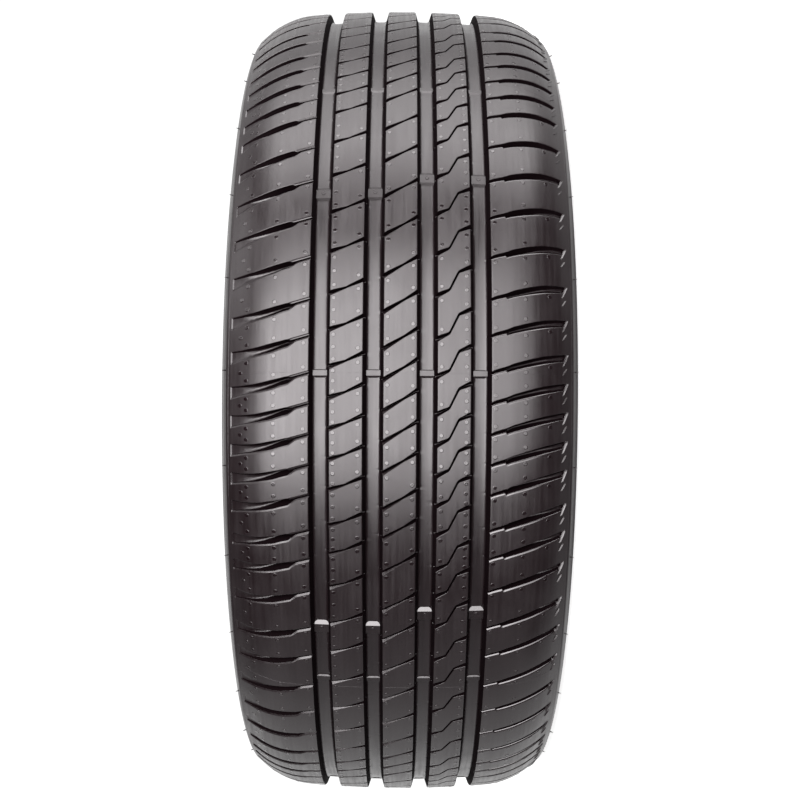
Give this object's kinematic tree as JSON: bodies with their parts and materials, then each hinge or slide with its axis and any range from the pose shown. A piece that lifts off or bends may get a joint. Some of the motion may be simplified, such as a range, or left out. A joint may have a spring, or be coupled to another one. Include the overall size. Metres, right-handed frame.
{
  "type": "car tyre",
  "caption": "Low-profile passenger car tyre with straight ribs, circumferential grooves and slanted shoulder grooves; its two beads seat on a wheel rim.",
  "frame": {"origin": "the wheel's centre, on the spin axis and midway between the two sidewalls", "axes": "+Z along the spin axis, up from the sidewall that the tyre lies on; +X and +Y across the tyre, with the pictured stretch of tread facing -Y"},
  "size_m": [0.6342, 0.634, 0.231],
  "materials": {
    "tyre": "satin black moulded rubber"
  },
  "bodies": {
    "root": {"tyre": "tyre"}
  },
  "joints": []
}
